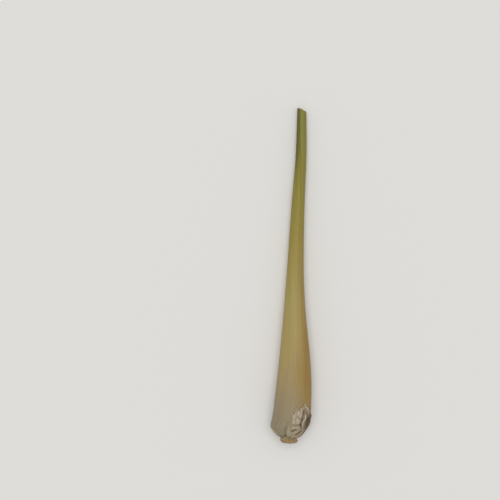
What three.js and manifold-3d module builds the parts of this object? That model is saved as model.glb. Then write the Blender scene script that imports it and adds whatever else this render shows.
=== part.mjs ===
// A cut lemongrass stalk lying on its side: a short root plate, leaf sheaths rolled tightly round
// one another above it, and what is left of an older sheath round the bulb.
// Lengths are in millimetres and angles in degrees. The stalk lies along Y with its tip towards +Y,
// and z = 0 is the surface it rests on. A station is a distance from the cut root end, an angle is
// measured in the stalk's cross-section from +X towards +Z, and a depth is measured inwards from
// the stalk's outline.

import * as THREE from 'three';
import { mergeVertices } from 'three/addons/utils/BufferGeometryUtils.js';
import Module from 'manifold-3d';

const { lerp, smoothstep, degToRad, radToDeg, euclideanModulo } = THREE.MathUtils;
const FULL_TURN = 360;

// The whole stalk.
const STALK_LENGTH = 215;
const BULB_HALF_WIDTH = 12.35;
const BULB_STATION = 14; // where the bulb is widest
const BULB_REACH = 64; // how far up the stalk its swelling fades
const BULB_FULLNESS = 2.4; // the power that makes the swelling full at first and fade late
const STEM_HALF_WIDTH = 7.4; // what the straight taper has at the bulb, under the swelling
const TIP_HALF_WIDTH = 3.05;
const BULB_HEIGHT_SHARE = 0.9; // the bulb's height over its width
const ROUND_FROM_STATION = 120; // from here to the tip the stalk is as high as it is wide
const PRESSED_DEPTH = 0.35; // how much the bulb is flattened where it rests
const TIP_PRESSED_DEPTH = 0.1;
const AXIS_SHIFT = -0.96; // puts the middle of the whole stalk's width on x = 0

// Growth makes the stalk a little out of round: shares of its half width, in lobes that twist up
// the stalk by so many degrees a millimetre.
const LOBINGS = [
  { share: 0.012, lobes: 2, twist: 1.3 },
  { share: 0.006, lobes: 5, twist: -1.9 },
];

// The gentle bows of the stalk's axis, seen from above: two along it, and a short one to the left
// where it leaves the root plate.
const BOWS = [
  { size: 1.9, station: 44, reach: 37 },
  { size: 0.85, station: 186, reach: 26 },
  { size: -1.6, station: 8, reach: 5.5 },
];

// The underside of the bulb, which slants in to a round rim where the sheaths leave the stem.
const RIM_STATION = 3.4;
const RIM_HALF_WIDTH = 6.45;
const UNDERSIDE_CORNER = { station: 8.6, half: 13 }; // which its curve bends round, inside it
const UNDERSIDE_RUN = 12.7; // the length of its outline

// The leaf sheaths.
const GAP = 0.4; // between one sheath and the next
const MARGIN_THICKNESS = 0.6;
const BULB_THICKNESS = 1.2;
const TIP_THICKNESS = 0.6;
const THINS_TO_STATION = 150; // a sheath has its tip thickness from here on
const MARGIN_WIDTH = 0.12; // in turns, over which a sheath thins out to its margin
const OVERLAP = 0.18; // in turns, at the bulb
const TIP_OPENING = 0.03; // in turns, between the two margins at the tip
const OVERLAP_FADES = [60, 160]; // stations between which the overlap turns into the opening
const STEP_FADES = [165, 205]; // stations between which the lower margin comes up level
const DIPS_FROM = 0.62; // in turns from the outer margin, where a sheath starts to pass under it
const MARGIN_ANGLE = 68; // of the outer sheath's outer margin, at its furthest to the right
const MARGIN_STATION = 125;
const MARGIN_SWING_TO_BULB = { angle: 22, reach: 100 };
const MARGIN_SWING_TO_TIP = { angle: 50, reach: 90 };
const CUT_DROP = 2.6; // how much lower the slanting tip cut is on the right than on the left
const RIM_RAGGEDNESS = { height: 0.8, waves: [41, 17] };
const SECOND_RIM_RUN = 2.6; // where the second sheath's rim lies along the outline

// The slit torn up into the outer sheath from its rim, as a wedge that points at the tip.
const SLIT = { angle: 106, halfWidth: 0.7, length: 13.5 };

// The older sheath torn away round the bulb.
const TORN_FROM_ANGLE = 86;
const TORN_TO_ANGLE = -38;
const TORN_RIM_RUN = 0.9;
const TORN_SHORTEST_RUN = 3;
const TORN_RUN = 22; // of its longest tongue
const TORN_SLOPES_FROM = 0.35; // the share of its width from which its free edge slopes down
const TORN_TONGUES = { lowest: 0.75, waves: [19, 7] }; // as a share of the free edge's height
const TORN_GAP = 0.3; // between it and the outer sheath
const TORN_LIFT = { height: 0.5, share: 0.5 }; // of its free edge, over the left of its width
const TORN_BITE = { angle: 14, halfWidth: 1.9, length: 13.5 }; // the wedge missing at its lower edge

// The root plate, and the stubs of the roots trimmed off it.
const STUB_HALF_WIDTH = 5.35;
const ROOT_PLATE_OUTLINE = [
  [0, 0],
  [4.6, 0],
  [5.25, 0.7],
  [STUB_HALF_WIDTH, 3],
  [4.9, 4.8],
  [5.2, 7.4],
  [6.3, 9.8],
  [6.8, 13],
  [6.5, 20],
  [5.6, 23.4],
  [0, 24.4],
]; // half width and station, from the cut face to the crown inside the bulb
const ROOT_STUB = { count: 9, radius: 0.75, endRadius: 0.6, length: 1.4, station: 1.7, backwards: 20 };
const ROOT_STUB_STRAY = { share: 0.3, beat: 5 }; // how unevenly they are spaced

// The inner roll starts just above the root plate's crown.
const ROLL_STATION = 24.8;
const ROLL_HEART_SHARE = 0.55; // of the roll's width, for the youngest leaf at its heart
const ROLL_HEART_RISE = 0.9;

// How finely the surfaces are divided, round the stalk and along it.
const OUTER_DIVISIONS = { columns: 48, rows: 30 };
const SECOND_DIVISIONS = { columns: 26, rows: 20 };
const TORN_DIVISIONS = { columns: 24, rows: 8 };
const ROLL_DIVISIONS = { columns: 22, rows: 20 };
const ROOT_PLATE_SIDES = 30;
const ROOT_STUB_SIDES = 7;
const ROW_CROWDING = 1.5; // rows crowd towards the bulb by this power

const UNDERSIDE = new THREE.QuadraticBezierCurve(
  new THREE.Vector2(RIM_STATION, RIM_HALF_WIDTH),
  new THREE.Vector2(UNDERSIDE_CORNER.station, UNDERSIDE_CORNER.half),
  new THREE.Vector2(BULB_STATION, BULB_HALF_WIDTH),
);

const wasm = await Module();
wasm.setup();

// Half the stalk's width: a straight taper to the tip with the bulb's swelling on it.
function halfWidth(station) {
  const above = station - BULB_STATION;
  const taper = lerp(STEM_HALF_WIDTH, TIP_HALF_WIDTH, above / (STALK_LENGTH - BULB_STATION));
  const fading = Math.exp(-((Math.max(above, 0) / BULB_REACH) ** BULB_FULLNESS));
  return taper + (BULB_HALF_WIDTH - STEM_HALF_WIDTH) * fading;
}

// The stalk's outline, a run along it from the rim: the bulb's underside, then the half width.
// The inward normal comes with each point.
function outline(run) {
  if (run < UNDERSIDE_RUN) {
    const { x: station, y: half } = UNDERSIDE.getPoint(run / UNDERSIDE_RUN);
    const tangent = UNDERSIDE.getTangent(run / UNDERSIDE_RUN);
    return { station, half, inward: new THREE.Vector2(tangent.y, -tangent.x) };
  }
  const station = BULB_STATION + run - UNDERSIDE_RUN;
  const slope = halfWidth(station + 0.5) - halfWidth(station - 0.5); // over one millimetre
  return {
    station,
    half: halfWidth(station),
    inward: new THREE.Vector2(slope, -1).normalize(),
  };
}

// The run that reaches a station above the bulb.
function runTo(station) {
  return UNDERSIDE_RUN + station - BULB_STATION;
}

function bow({ size, station, reach }, at) {
  return size * Math.exp(-(((at - station) / reach) ** 2));
}

// The middle of the cross-section at a station.
function axisPoint(station) {
  const up = (station - BULB_STATION) / (STALK_LENGTH - BULB_STATION);
  return new THREE.Vector3(
    BOWS.reduce((x, each) => x + bow(each, station), AXIS_SHIFT),
    station - STALK_LENGTH / 2,
    lerp(BULB_HALF_WIDTH * BULB_HEIGHT_SHARE - PRESSED_DEPTH, TIP_HALF_WIDTH - TIP_PRESSED_DEPTH, up),
  );
}

// How much wider or narrower than round the stalk has grown, as a share of its half width.
function unevenness(station, angle) {
  let share = 0;
  for (const lobing of LOBINGS) {
    share += lobing.share * Math.cos(degToRad(lobing.lobes * angle + lobing.twist * station));
  }
  return share;
}

// A point at a depth under the outline. The surface that the stalk rests on presses it flat.
function place(run, angle, depth) {
  const { station: skinStation, half, inward } = outline(run);
  const station = skinStation + depth * inward.x;
  const reach = (half + depth * inward.y) * (1 + unevenness(station, angle));
  const round = smoothstep(station, BULB_STATION, ROUND_FROM_STATION);
  const point = axisPoint(station);
  point.x += reach * Math.cos(degToRad(angle));
  point.z += reach * lerp(BULB_HEIGHT_SHARE, 1, round) * Math.sin(degToRad(angle));
  point.z = Math.max(point.z, depth);
  return point;
}

// The station of the slanting tip cut, at a point of a layer that is this deep.
function tipCut(angle, depth) {
  const across = ((TIP_HALF_WIDTH - depth) / TIP_HALF_WIDTH) * Math.cos(degToRad(angle));
  return STALK_LENGTH - (CUT_DROP * (1 + across)) / 2;
}

// Where the outer sheath's outer margin runs. It swings to the left at both ends.
function marginAngle(station) {
  const swing = station < MARGIN_STATION ? MARGIN_SWING_TO_BULB : MARGIN_SWING_TO_TIP;
  return MARGIN_ANGLE + swing.angle * ((station - MARGIN_STATION) / swing.reach) ** 2;
}

// How far a sheath wraps past one full turn, in turns.
function overlapAt(station) {
  return lerp(OVERLAP, -TIP_OPENING, smoothstep(station, ...OVERLAP_FADES));
}

// How deep the covered margin lies under the outer one.
function stepAt(station) {
  return (MARGIN_THICKNESS + GAP) * (1 - smoothstep(station, ...STEP_FADES));
}

function fullThickness(station) {
  return lerp(BULB_THICKNESS, TIP_THICKNESS, smoothstep(station, BULB_STATION, THINS_TO_STATION));
}

// A sheath's outer face under its own outline, a number of turns in from its outer margin.
function wrapDepth(turns, station) {
  return stepAt(station) * smoothstep(turns, DIPS_FROM, 1);
}

// A sheath is thin where its margins overlap, and fleshy between them.
function thickness(turns, station) {
  const overlap = Math.max(overlapAt(station), 0);
  const inside = Math.min(turns - overlap, 1 - turns) / MARGIN_WIDTH;
  return lerp(MARGIN_THICKNESS, fullThickness(station), smoothstep(inside, 0, 1));
}

// What one wrapped sheath takes up, and so how deep the next layer starts, at a number of turns
// clockwise from its outer margin.
function layerDepth(turns, station) {
  const overlap = Math.max(overlapAt(station), 0);
  const doubled = stepAt(station) + MARGIN_THICKNESS;
  const single = wrapDepth(turns, station) + thickness(turns, station);
  return GAP + lerp(doubled, single, smoothstep(turns, overlap, overlap + MARGIN_WIDTH));
}

function turnsBetween(fromAngle, toAngle) {
  return euclideanModulo((fromAngle - toAngle) / FULL_TURN, 1);
}

// The depth of the second sheath's outline, just inside the outer sheath.
function secondDepth(angle, station) {
  return layerDepth(turnsBetween(marginAngle(station), angle), station);
}

// The second sheath's outer margin lies on the far side, as leaves take turns.
function secondMarginAngle(station) {
  return marginAngle(station) - FULL_TURN / 2;
}

// The depth of the inner roll's face, just inside the second sheath.
function rollDepth(angle, station) {
  const turns = turnsBetween(secondMarginAngle(station), angle);
  return secondDepth(angle, station) + layerDepth(turns, station);
}

function closedSurface(geometry) {
  geometry.deleteAttribute('normal');
  geometry.deleteAttribute('uv');
  const merged = mergeVertices(geometry);
  merged.computeVertexNormals();
  return merged;
}

// The height of a ragged edge, from 0 to 1, where two waves of so many radians meet across it.
function ragged(across, [fine, coarse]) {
  return 0.5 + 0.5 * Math.sin(fine * across) * Math.cos(coarse * across);
}

// A thin slab bent round the stalk. shape(across, up, isOuter) gives the place of each of its
// points, with across from 0 at the outer margin to 1, and up from 0 at the rim to 1.
function bentSlab({ columns, rows }, shape) {
  const geometry = new THREE.BoxGeometry(1, 1, 1, columns, rows, 1);
  const position = geometry.attributes.position;
  for (let i = 0; i < position.count; i += 1) {
    const column = Math.round((position.getX(i) + 0.5) * columns);
    const row = Math.round((position.getY(i) + 0.5) * rows);
    const point = shape(column / columns, row / rows, position.getZ(i) > 0);
    position.setXYZ(i, point.x, point.y, point.z);
  }
  return closedSurface(geometry);
}

function solidOf(geometry) {
  const closed = closedSurface(geometry);
  return new wasm.Manifold(
    new wasm.Mesh({
      numProp: 3,
      vertProperties: closed.attributes.position.array,
      triVerts: new Uint32Array(closed.index.array),
    }),
  );
}

function geometryOf(solid) {
  const { vertProperties, triVerts } = solid.getMesh();
  const geometry = new THREE.BufferGeometry();
  geometry.setAttribute('position', new THREE.BufferAttribute(vertProperties, 3));
  geometry.setIndex(new THREE.BufferAttribute(triVerts, 1));
  geometry.computeVertexNormals();
  return geometry;
}

// A wedge that stands out of the stalk's side and points at the tip, to cut a sheath with.
function wedge({ angle, halfWidth, length }) {
  const corners = [
    new THREE.Vector2(-halfWidth, 0),
    new THREE.Vector2(halfWidth, 0),
    new THREE.Vector2(0, length),
  ];
  const settings = { depth: 2 * BULB_HALF_WIDTH, bevelEnabled: false };
  const geometry = new THREE.ExtrudeGeometry(new THREE.Shape(corners), settings);
  const base = axisPoint(0);
  geometry.translate(0, 0, RIM_HALF_WIDTH / 2);
  geometry.rotateY(degToRad(90 - angle));
  geometry.translate(base.x, base.y, base.z);
  return geometry;
}

function mesh(name, geometry, color, roughness) {
  const material = new THREE.MeshStandardMaterial({ color, roughness, metalness: 0 });
  const made = new THREE.Mesh(geometry, material);
  made.name = name;
  return made;
}

// A whole leaf sheath: round the stalk once and over its own margin, from the rim to the tip cut.
function wrappedSheath({ divisions, outerMargin, outlineDepth, rim }) {
  return bentSlab(divisions, (across, up, isOuter) => {
    const rimRun = rim(across);
    const topRun = runTo(STALK_LENGTH);
    const roughStation = outline(lerp(rimRun, topRun, up ** ROW_CROWDING)).station;
    const turns = across * (1 + overlapAt(roughStation));
    const angle = outerMargin(roughStation) - FULL_TURN * turns;
    const depth =
      outlineDepth(angle, roughStation) +
      wrapDepth(turns, roughStation) +
      (isOuter ? 0 : thickness(turns, roughStation));
    const cutRun = runTo(tipCut(angle, depth));
    return place(lerp(rimRun, cutRun, up ** ROW_CROWDING), angle, depth);
  });
}

function outerSheath() {
  const whole = wrappedSheath({
    divisions: OUTER_DIVISIONS,
    outerMargin: marginAngle,
    outlineDepth: () => 0,
    rim: (across) => RIM_RAGGEDNESS.height * ragged(across, RIM_RAGGEDNESS.waves),
  });
  return geometryOf(solidOf(whole).subtract(solidOf(wedge(SLIT))));
}

function secondSheath() {
  return wrappedSheath({
    divisions: SECOND_DIVISIONS,
    outerMargin: secondMarginAngle,
    outlineDepth: secondDepth,
    rim: () => SECOND_RIM_RUN,
  });
}

// The free edge of the torn sheath: ragged tongues, high on the upper side, where it tore along a
// vein, and sloping down to the right.
function tornTop(across) {
  const slope = 1 - smoothstep(across, TORN_SLOPES_FROM, 1);
  const tongues = lerp(TORN_TONGUES.lowest, 1, ragged(across, TORN_TONGUES.waves));
  return lerp(TORN_SHORTEST_RUN, TORN_RUN, slope * tongues);
}

function tornSheath() {
  const spread = TORN_FROM_ANGLE - TORN_TO_ANGLE;
  const whole = bentSlab(TORN_DIVISIONS, (across, up, isOuter) => {
    const run = lerp(TORN_RIM_RUN, tornTop(across), up);
    const along = Math.min(across / TORN_LIFT.share, 1);
    const lift = TORN_LIFT.height * up ** 2 * Math.sin(Math.PI * along);
    const face = isOuter ? MARGIN_THICKNESS : 0;
    return place(run, TORN_FROM_ANGLE - spread * across, -(TORN_GAP + lift + face));
  });
  return geometryOf(solidOf(whole).subtract(solidOf(wedge(TORN_BITE))));
}

// The young leaves inside, rolled too tightly to part, with the youngest standing proud of the cut.
// Two rows more than the roll's own make the step up to it.
function innerRoll() {
  const { columns, rows } = ROLL_DIVISIONS;
  const geometry = new THREE.CylinderGeometry(1, 1, 1, columns, rows + 2);
  const position = geometry.attributes.position;
  for (let i = 0; i < position.count; i += 1) {
    const angle = radToDeg(Math.atan2(position.getZ(i), position.getX(i)));
    const row = Math.round((position.getY(i) + 0.5) * (rows + 2));
    const isRim = Math.hypot(position.getX(i), position.getZ(i)) > 0.5;
    const share = Number(isRim) * (row > rows ? ROLL_HEART_SHARE : 1);
    const up = Math.min(row / rows, 1) ** ROW_CROWDING;
    const depth = rollDepth(angle, lerp(ROLL_STATION, STALK_LENGTH, up));
    const top = tipCut(angle, lerp(TIP_HALF_WIDTH, depth, share));
    const station = lerp(ROLL_STATION, top, up);
    const point = axisPoint(station).lerp(place(runTo(station), angle, depth), share);
    const rise = row > rows + 1 ? ROLL_HEART_RISE : 0;
    position.setXYZ(i, point.x, station - STALK_LENGTH / 2 + rise, point.z);
  }
  return closedSurface(geometry);
}

// The root plate and the crown of the stem, with the root stubs grown together with it.
function rootPlate() {
  const points = ROOT_PLATE_OUTLINE.map(([half, station]) => new THREE.Vector2(half, station));
  const { count, radius, endRadius, length, station, backwards } = ROOT_STUB;
  let solid = solidOf(new THREE.LatheGeometry(points, ROOT_PLATE_SIDES));
  for (let i = 0; i < count; i += 1) {
    const stub = new THREE.CylinderGeometry(endRadius, radius, length, ROOT_STUB_SIDES);
    const stray = ROOT_STUB_STRAY.share * Math.sin(ROOT_STUB_STRAY.beat * i);
    stub.rotateX(degToRad(90 + backwards));
    stub.translate(0, station, STUB_HALF_WIDTH);
    stub.rotateY(degToRad((FULL_TURN / count) * (i + stray)));
    solid = solid.add(solidOf(stub));
  }
  const geometry = geometryOf(solid);
  const position = geometry.attributes.position;
  for (let i = 0; i < position.count; i += 1) {
    const middle = axisPoint(position.getY(i));
    position.setXYZ(
      i,
      middle.x + position.getX(i),
      middle.y,
      middle.z + BULB_HEIGHT_SHARE * position.getZ(i),
    );
  }
  geometry.computeVertexNormals();
  return geometry;
}

const stalk = new THREE.Group();
stalk.add(
  mesh('root_plate', rootPlate(), '#9a7a50', 0.8),
  mesh('outer_sheath', outerSheath(), '#a89a5c', 0.5),
  mesh('second_sheath', secondSheath(), '#b6ab76', 0.5),
  mesh('inner_roll', innerRoll(), '#c4c08a', 0.55),
  mesh('torn_sheath', tornSheath(), '#b3a586', 0.8),
);

export default stalk;
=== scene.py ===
# %% [markdown]
# # A cut lemongrass stalk
# A lemongrass stalk is a bundle of leaf sheaths. Each sheath grows from a short stem, the root
# plate, wraps once round the younger ones inside it and thins out to a dry margin. The stalk here
# was cut at both ends and lies on its side. Every piece below is worked out from one description
# of the stalk's outline, so that the layers nest in one another as they did when they grew.

import math

import bpy
import numpy as np
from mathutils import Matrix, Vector, noise


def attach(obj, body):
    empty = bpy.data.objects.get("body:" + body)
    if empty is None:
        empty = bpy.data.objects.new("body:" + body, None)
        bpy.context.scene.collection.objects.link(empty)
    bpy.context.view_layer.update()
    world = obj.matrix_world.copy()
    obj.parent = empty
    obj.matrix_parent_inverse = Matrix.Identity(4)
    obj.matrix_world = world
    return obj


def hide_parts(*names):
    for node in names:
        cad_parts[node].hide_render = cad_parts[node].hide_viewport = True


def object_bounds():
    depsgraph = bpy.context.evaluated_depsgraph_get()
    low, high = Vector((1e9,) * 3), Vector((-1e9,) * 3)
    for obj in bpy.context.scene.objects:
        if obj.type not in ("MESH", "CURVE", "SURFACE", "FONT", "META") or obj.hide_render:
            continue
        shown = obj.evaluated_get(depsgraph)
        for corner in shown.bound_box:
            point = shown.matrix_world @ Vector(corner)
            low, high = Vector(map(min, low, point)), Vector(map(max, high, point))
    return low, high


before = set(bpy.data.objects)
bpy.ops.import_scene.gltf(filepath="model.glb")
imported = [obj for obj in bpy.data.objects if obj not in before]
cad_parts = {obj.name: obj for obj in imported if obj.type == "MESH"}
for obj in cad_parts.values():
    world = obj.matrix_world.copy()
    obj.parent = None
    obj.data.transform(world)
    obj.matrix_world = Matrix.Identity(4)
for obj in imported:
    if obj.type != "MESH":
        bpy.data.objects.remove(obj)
cad_low, cad_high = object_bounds()
print("the solids reach from", tuple(cad_low), "to", tuple(cad_high))

# %% [markdown]
# ## The stalk's sizes
# Blender works in metres, and a stalk is easier to think of in millimetres, so every size is
# written as a number of millimetres times MM. The stalk lies along Y with its tip towards +Y. A
# station is a distance from the cut root end. A depth is measured inwards from the outline.

# %% Driving sizes of the whole stalk
MM = 0.001
TURN = 2 * math.pi
STALK_LENGTH = cad_high.y - cad_low.y
BULB_HALF_WIDTH = 12.35 * MM
BULB_STATION = 14 * MM
BULB_REACH = 64 * MM
BULB_FULLNESS = 2.4
STEM_HALF_WIDTH = 7.4 * MM
TIP_HALF_WIDTH = 3.05 * MM
BULB_HEIGHT_SHARE = 0.9
ROUND_FROM_STATION = 120 * MM
PRESSED_DEPTH = 0.35 * MM
TIP_PRESSED_DEPTH = 0.1 * MM
AXIS_SHIFT = -0.96 * MM
BOWS = [
    (1.9 * MM, 44 * MM, 37 * MM),
    (0.85 * MM, 186 * MM, 26 * MM),
    (-1.6 * MM, 8 * MM, 5.5 * MM),
]  # size, station, reach
LOBINGS = [(0.012, 2, 1.3), (0.006, 5, -1.9)]  # share, lobes, degrees of twist a millimetre
print("the stalk is", round(STALK_LENGTH / MM, 1), "mm long")


# %% Half the width, and the middle of the cross-section, at a station
def between(low, high, share):
    return low + (high - low) * share


def fade(value, start, end):
    """0 up to start, 1 from end on, and smooth between them."""
    share = np.clip((value - start) / (end - start), 0, 1)
    return share * share * (3 - 2 * share)


def half_width(station):
    above = station - BULB_STATION
    taper = between(STEM_HALF_WIDTH, TIP_HALF_WIDTH, above / (STALK_LENGTH - BULB_STATION))
    swelling = np.exp(-((np.maximum(above, 0) / BULB_REACH) ** BULB_FULLNESS))
    return taper + (BULB_HALF_WIDTH - STEM_HALF_WIDTH) * swelling


def axis_x(station):
    return AXIS_SHIFT + sum(size * np.exp(-(((station - at) / reach) ** 2)) for size, at, reach in BOWS)


def axis_z(station):
    bulb = BULB_HALF_WIDTH * BULB_HEIGHT_SHARE - PRESSED_DEPTH
    up = (station - BULB_STATION) / (STALK_LENGTH - BULB_STATION)
    return between(bulb, TIP_HALF_WIDTH - TIP_PRESSED_DEPTH, up)


for station in (BULB_STATION, STALK_LENGTH / 2, STALK_LENGTH):
    print(round(station / MM), "mm up, it is", round(2 * half_width(station) / MM, 1), "mm wide")

# %% [markdown]
# ## One rule for every layer
# A sheath is a sheet bent round the stalk, so a point on it is best given by where it is on the
# sheet: how far up the outline, at what angle round the axis, and how deep under the skin. The
# function place turns those three into x, y and z. Sculpting would give a softer lump, but the
# layers would cut through each other; a rule keeps them apart at any fineness.

# %% The outline, from the round rim under the bulb to the tip
RIM_STATION = 3.4 * MM
RIM_HALF_WIDTH = 6.45 * MM
CORNER_STATION = 8.6 * MM  # the underside's curve bends round this corner, inside it
CORNER_HALF_WIDTH = 13 * MM
UNDERSIDE_RUN = 12.7 * MM


def curve(rim, corner, bulb, share):
    """A quadratic Bezier curve's place and its direction, which needn't be of length 1."""
    first, second = between(rim, corner, share), between(corner, bulb, share)
    return between(first, second, share), second - first


def outline(run):
    """Station, half width, and the inward direction along and across the stalk."""
    share = np.clip(run / UNDERSIDE_RUN, 0, 1)
    low_station, ahead = curve(RIM_STATION, CORNER_STATION, BULB_STATION, share)
    low_half, outwards = curve(RIM_HALF_WIDTH, CORNER_HALF_WIDTH, BULB_HALF_WIDTH, share)
    station = low_station + np.maximum(run - UNDERSIDE_RUN, 0)
    under = run < UNDERSIDE_RUN
    half = np.where(under, low_half, half_width(station))
    slope = (half_width(station + MM / 2) - half_width(station - MM / 2)) / MM
    along = np.where(under, outwards, slope)
    across = np.where(under, -ahead, -1)
    length = np.hypot(along, across)
    return station, half, along / length, across / length


def run_to(station):
    return UNDERSIDE_RUN + station - BULB_STATION


print("from rim to tip the outline is", round(run_to(STALK_LENGTH) / MM, 1), "mm long")

# %% Where the outer margin runs, and how uneven the stalk is round its axis
MARGIN_ANGLE = math.radians(68)
MARGIN_STATION = 125 * MM
SWING_TO_BULB = (math.radians(22), 100 * MM)  # how far round it swings, over this length
SWING_TO_TIP = (math.radians(50), 90 * MM)
FLAT_DEPTH = 0.27 * MM


def unevenness(station, angle):
    total = 0
    for share, lobes, twist in LOBINGS:
        total = total + share * np.cos(lobes * angle + np.radians(twist) * station / MM)
    return total


def margin_angle(station):
    away = station - MARGIN_STATION
    to_bulb = SWING_TO_BULB[0] * (away / SWING_TO_BULB[1]) ** 2
    to_tip = SWING_TO_TIP[0] * (away / SWING_TO_TIP[1]) ** 2
    return MARGIN_ANGLE + np.where(away < 0, to_bulb, to_tip)


def flattening(station, angle):
    """The stalk lies flatter on the side where its sheath goes in under its own margin."""
    turns = (margin_angle(station) - angle) / TURN % 1
    return FLAT_DEPTH * fade(turns, 0.5, 0.75) * (1 - fade(turns, 0.85, 1))


turned = [round(math.degrees(margin_angle(station))) for station in (0, MARGIN_STATION, STALK_LENGTH)]
print("from root to tip, the outer margin is at", *turned, "degrees")

# %% Place a point by run, angle and depth
SKIN_INSET = 0.13 * MM  # at the bulb, to keep the smooth skin inside the faceted solid's flats


def place(run, angle, depth):
    """The point at this run up the outline, this angle round the axis and this depth."""
    skin_station, half, along, across = outline(run)
    skin = SKIN_INSET * half / BULB_HALF_WIDTH + flattening(skin_station, angle)
    inset = depth + skin
    station = skin_station + inset * along
    reach = (half + inset * across) * (1 + unevenness(station, angle))
    flat = between(BULB_HEIGHT_SHARE, 1, fade(station, BULB_STATION, ROUND_FROM_STATION))
    x = axis_x(station) + reach * np.cos(angle)
    z = axis_z(station) + reach * flat * np.sin(angle)
    return np.stack([x, station - STALK_LENGTH / 2 + 0 * x, np.maximum(z, depth)], -1)


print("the top of the bulb is at", place(UNDERSIDE_RUN, TURN / 4, 0).round(5))


# %% How close a point is to a path over the skin
def closeness(run, angle, path, reach):
    """1 on a path of (run in mm, angle in degrees), falling off over reach to both sides."""
    points = [(MM * at, BULB_HALF_WIDTH * math.radians(turned)) for at, turned in path]
    spot = np.stack(np.broadcast_arrays(run, BULB_HALF_WIDTH * angle), -1)
    nearest = np.full(spot.shape[:-1], np.inf)
    for start, end in zip(np.array(points[:-1]), np.array(points[1:])):
        step = end - start
        share = np.clip((spot - start) @ step / (step @ step), 0, 1)
        away = np.linalg.norm(spot - start - share[..., None] * step, axis=-1)
        nearest = np.minimum(nearest, away)
    return np.exp(-((nearest / reach) ** 2))


line = [(0, 90), (10, 90)]
beside = (0, 1 * MM, 3 * MM)
shares = [closeness(5 * MM, TURN / 4 + off / BULB_HALF_WIDTH, line, MM) for off in beside]
print("0, 1 and 3 mm beside a line, its mark is", np.round(shares, 2), "strong")

# %% [markdown]
# ## How the sheaths wrap
# On the real stalk a sheath goes once round and then over its own other margin. Where it is
# covered it has to dip by the thickness of what lies over it, and the next sheath starts under
# both. These rules say where the margin runs, how far it overlaps and how thick the sheet is.

# %% Margins, overlap and thickness
GAP = 0.06 * MM
MARGIN_THICKNESS = 0.14 * MM
BULB_THICKNESS = 1.2 * MM
TIP_THICKNESS = 0.5 * MM
THINS_TO_STATION = 150 * MM
MARGIN_WIDTH = 0.12  # in turns, as are the next two and DIPS_FROM
OVERLAP = 0.18
TIP_OPENING = 0.03
OVERLAP_FADES = (60 * MM, 160 * MM)
OPENS = (150 * MM, 190 * MM)
STEP_FADES = (165 * MM, 205 * MM)
DIPS_FROM = 0.62


def second_margin_angle(station):
    return margin_angle(station) - TURN / 2


def overlap_at(station):
    return OVERLAP * (1 - fade(station, *OVERLAP_FADES)) - TIP_OPENING * fade(station, *OPENS)


def step_at(station):
    return (MARGIN_THICKNESS + GAP) * (1 - fade(station, *STEP_FADES))


def full_thickness(station):
    return between(BULB_THICKNESS, TIP_THICKNESS, fade(station, BULB_STATION, THINS_TO_STATION))


def wrap_depth(turns, station):
    return step_at(station) * fade(turns, DIPS_FROM, 1)


def thickness(turns, station):
    overlap = np.maximum(overlap_at(station), 0)
    inside = np.minimum(turns - overlap, 1 - turns) / MARGIN_WIDTH
    return between(MARGIN_THICKNESS, full_thickness(station), fade(inside, 0, 1))


thick = round(float(thickness(0.6, BULB_STATION) / MM), 2)
print("at the bulb the sheath is", thick, "mm thick, and", MARGIN_THICKNESS / MM, "at its margin")


# %% How deep each layer starts, and where the knife went through
def layer_depth(turns, station):
    """How much deeper the next sheath starts, a number of turns on from this one's margin."""
    overlap = np.maximum(overlap_at(station), 0)
    doubled = step_at(station) * (1 - fade(turns, overlap, overlap + MARGIN_WIDTH))
    return GAP + doubled + wrap_depth(turns, station) + thickness(turns, station)


def second_depth(angle, station):
    return layer_depth((margin_angle(station) - angle) / TURN % 1, station)


def roll_depth(angle, station):
    turns = (second_margin_angle(station) - angle) / TURN % 1
    return second_depth(angle, station) + layer_depth(turns, station)


CUT_DROP = 2.6 * MM


def tip_cut(angle, depth):
    """The station of the slanting cut, at a point this deep under the skin."""
    share = (TIP_HALF_WIDTH - depth) / TIP_HALF_WIDTH * np.cos(angle)
    return STALK_LENGTH - CUT_DROP * (1 + share) / 2


deep = float(second_depth(0, BULB_STATION) / MM)
print("on the right of the bulb the second sheath starts", round(deep, 2), "mm deep")

# %% [markdown]
# ## Sheets with two faces
# A leaf sheath has an outer and an inner face. Two grids of points, one over the other, give
# them, and a wall of faces closes every edge, at the margins, at the rim, at the cut and along
# any slit. A Solidify modifier would do that too, but it gives the same thickness everywhere,
# and these sheaths are fleshy in the middle and thin at the margin.

# %% Close two grids of points into one sheet
def wall_faces(index, kept):
    """Quads that close the edges of the kept faces, and whether each stands at the cut."""
    low, high = index[:-1], index[1:]
    corners = {
        "rim": (low[:, :-1], low[:, 1:], (slice(None, -2), slice(1, -1))),
        "right": (low[:, 1:], high[:, 1:], (slice(1, -1), slice(2, None))),
        "cut": (high[:, 1:], high[:, :-1], (slice(2, None), slice(1, -1))),
        "left": (high[:, :-1], low[:, :-1], (slice(1, -1), slice(None, -2))),
    }
    padded, below = np.pad(kept, 1), index.size
    walls, at_cut = [], []
    for side, (start, end, neighbour) in corners.items():
        edge = kept & ~padded[neighbour]
        p, q = start[edge], end[edge]
        walls.append(np.stack([q, p, p + below, q + below], -1))
        at_cut.append(np.full(len(p), side == "cut"))
    return np.concatenate(walls), np.concatenate(at_cut)


trial_walls, trial_cut = wall_faces(np.arange(12).reshape(4, 3), np.ones((3, 2), bool))
print("a sheet of 3 by 2 faces is closed by", len(trial_walls), "more,", trial_cut.sum(), "at its cut")


# %% Build the sheet as a mesh that carries its fields
SHARP_ANGLE = math.radians(50)


def add_field(mesh, name, values):
    """A field is a number at each point of a mesh, for its finish to read."""
    attribute = mesh.attributes.new(name, "FLOAT", "POINT")
    attribute.data.foreach_set("value", np.asarray(values, np.float32))


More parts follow.
